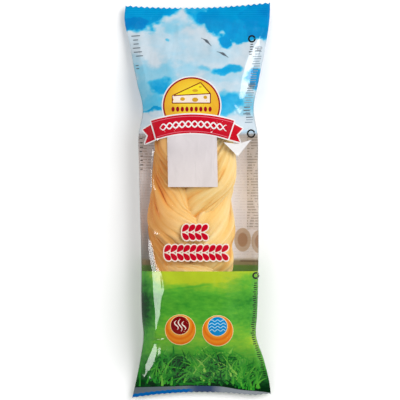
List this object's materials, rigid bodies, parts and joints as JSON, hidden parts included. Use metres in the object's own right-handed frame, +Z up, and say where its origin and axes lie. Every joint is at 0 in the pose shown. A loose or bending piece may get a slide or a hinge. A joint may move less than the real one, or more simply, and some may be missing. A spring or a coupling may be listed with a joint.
{
  "type": "sealed pack of braided string cheese",
  "caption": "Long pillow-shaped film pack lying on its back, flat crimped seal at each end, a clear band across its middle over a plaited smoked cheese.",
  "frame": {"origin": "middle of the pack's outline, on the surface that it rests on", "axes": "+Z up, out of the printed front; +Y along the pack towards its top seal; +X to the right as the print is read"},
  "size_m": [0.087, 0.235, 0.0325],
  "materials": {
    "printed_film": "glossy printed film, clear in a band across the middle",
    "smoked_cheese": "soft, faintly oily, fine fibres along each strand"
  },
  "bodies": {
    "root": {"pack": "printed_film"}
  },
  "joints": []
}
